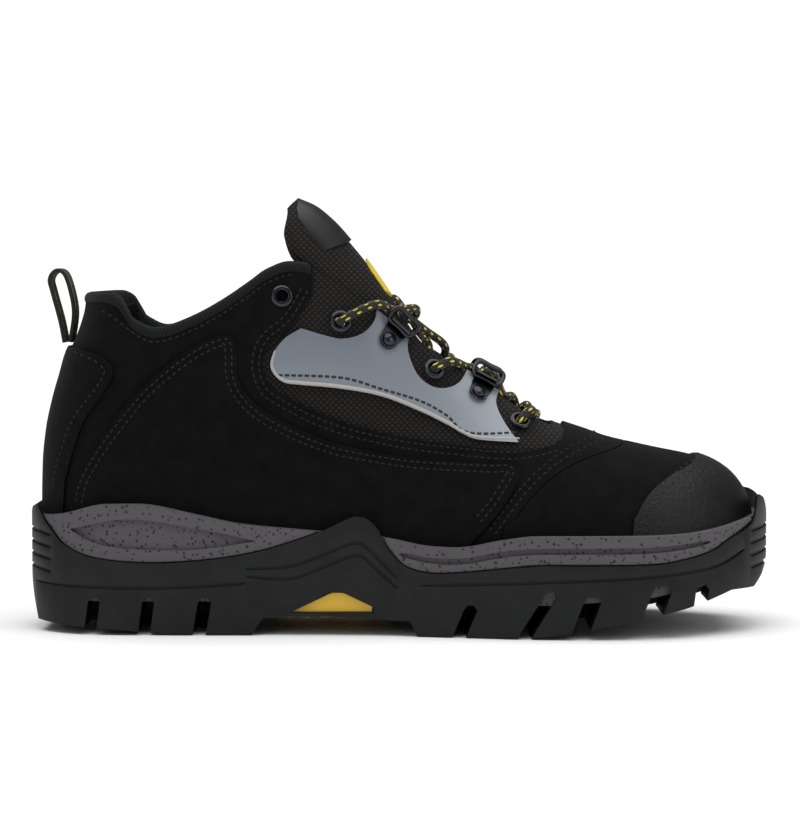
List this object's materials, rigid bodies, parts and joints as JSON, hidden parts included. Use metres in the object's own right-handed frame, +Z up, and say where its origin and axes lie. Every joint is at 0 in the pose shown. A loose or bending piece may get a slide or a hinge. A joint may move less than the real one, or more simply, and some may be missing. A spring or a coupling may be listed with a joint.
{
  "type": "mountaineering boot",
  "caption": "Mid-cut mountaineering boot: lugged sole, suede and mesh upper with a moulded side overlay, padded tongue and collar, ring lacing and a heel pull loop.",
  "frame": {"origin": "on the ground under the middle of the boot's length and width", "axes": "+X from heel to toe, +Z up, the outer side of the foot faces -Y"},
  "size_m": [0.305, 0.1132, 0.1769],
  "materials": {
    "amber": "amber moulded plastic, smooth",
    "board": "fibre board",
    "foam": "moulded grey foam with black speckles",
    "gunmetal": "gunmetal plating, gloss",
    "knit": "black knit over foam",
    "label": "smooth dark patch, satin",
    "lace": "round black braid with yellow flecks",
    "lining": "black knitted lining",
    "mesh": "black woven mesh over a warm dark ground",
    "rubber": "moulded charcoal rubber, fine texture",
    "stiffener": "stiffener sheet",
    "suede": "black suede, double stitched",
    "toe_leather": "dark grained leather, stitched",
    "tpu": "smoke grey-blue moulded overlay, satin",
    "webbing": "black webbing with thin yellow stripes",
    "yellow": "yellow woven trim"
  },
  "bodies": {
    "boot": {"aglet_lateral": "label", "aglet_medial": "label", "anchor_plate_1_lateral": "gunmetal", "anchor_plate_1_medial": "gunmetal", "anchor_plate_2_lateral": "gunmetal", "anchor_plate_2_medial": "gunmetal", "arch_plate": "amber", "arch_shank": "amber", "collar_padding": "knit", "eyelet_1_lateral": "gunmetal", "eyelet_1_medial": "gunmetal", "eyelet_2_lateral": "gunmetal", "eyelet_2_medial": "gunmetal", "eyelet_3_lateral": "gunmetal", "eyelet_3_medial": "gunmetal", "eyelet_4_lateral": "gunmetal", "eyelet_4_medial": "gunmetal", "heel_counter": "stiffener", "heel_patch": "toe_leather", "inner_lining": "lining", "lace": "lace", "lasting_board": "board", "midsole": "foam", "moulded_overlay_lateral": "tpu", "moulded_overlay_medial": "tpu", "outsole": "rubber", "rivet_1_lateral": "gunmetal", "rivet_1_medial": "gunmetal", "rivet_2_lateral": "gunmetal", "rivet_2_medial": "gunmetal", "saddle_lateral": "suede", "saddle_medial": "suede", "suede_quarter_lateral": "suede", "suede_quarter_medial": "suede", "suede_vamp": "suede", "textile_lateral": "mesh", "textile_medial": "mesh", "toe_cap": "toe_leather", "toe_puff": "stiffener"},
    "tongue_body": {"tongue": "mesh", "tongue_label": "label", "tongue_strip": "yellow"},
    "loop_body": {"pull_loop": "webbing"},
    "footbed_body": {"footbed": "lining"},
    "ring_1_lateral": {"anchor_ring_1_lateral": "gunmetal"},
    "ring_2_lateral": {"anchor_ring_2_lateral": "gunmetal"},
    "ring_1_medial": {"anchor_ring_1_medial": "gunmetal"},
    "ring_2_medial": {"anchor_ring_2_medial": "gunmetal"}
  },
  "joints": [
    {"name": "tongue_press", "type": "hinge", "parent": "boot", "child": "tongue_body", "pos_m": [0.062, 0, 0.078], "axis": [0, -1, 0], "range_deg": [0, 3], "stiffness_Nm_per_rad": 2},
    {"name": "pull_loop_fold", "type": "hinge", "parent": "boot", "child": "loop_body", "pos_m": [-0.1372, 0, 0.117], "axis": [0, -1, 0], "range_deg": [0, 60], "stiffness_Nm_per_rad": 0.02},
    {"name": "footbed_lift", "type": "slide", "parent": "boot", "child": "footbed_body", "axis": [0, 0, 1], "range_m": [0, 0.005]},
    {"name": "ring_1_lateral_lift", "type": "hinge", "parent": "boot", "child": "ring_1_lateral", "pos_m": [-0.00047, -0.02211, 0.12345], "axis": [0.7218, 0.145, -0.6768], "range_deg": [0, 15]},
    {"name": "ring_2_lateral_lift", "type": "hinge", "parent": "boot", "child": "ring_2_lateral", "pos_m": [0.03489, -0.01582, 0.10217], "axis": [0.8869, -0.031, -0.4609], "range_deg": [0, 15]},
    {"name": "ring_1_medial_lift", "type": "hinge", "parent": "boot", "child": "ring_1_medial", "pos_m": [-0.00047, 0.02175, 0.12345], "axis": [-0.7218, 0.145, 0.6768], "range_deg": [0, 15]},
    {"name": "ring_2_medial_lift", "type": "hinge", "parent": "boot", "child": "ring_2_medial", "pos_m": [0.03489, 0.01546, 0.10217], "axis": [-0.8869, -0.031, 0.4609], "range_deg": [0, 15]}
  ]
}
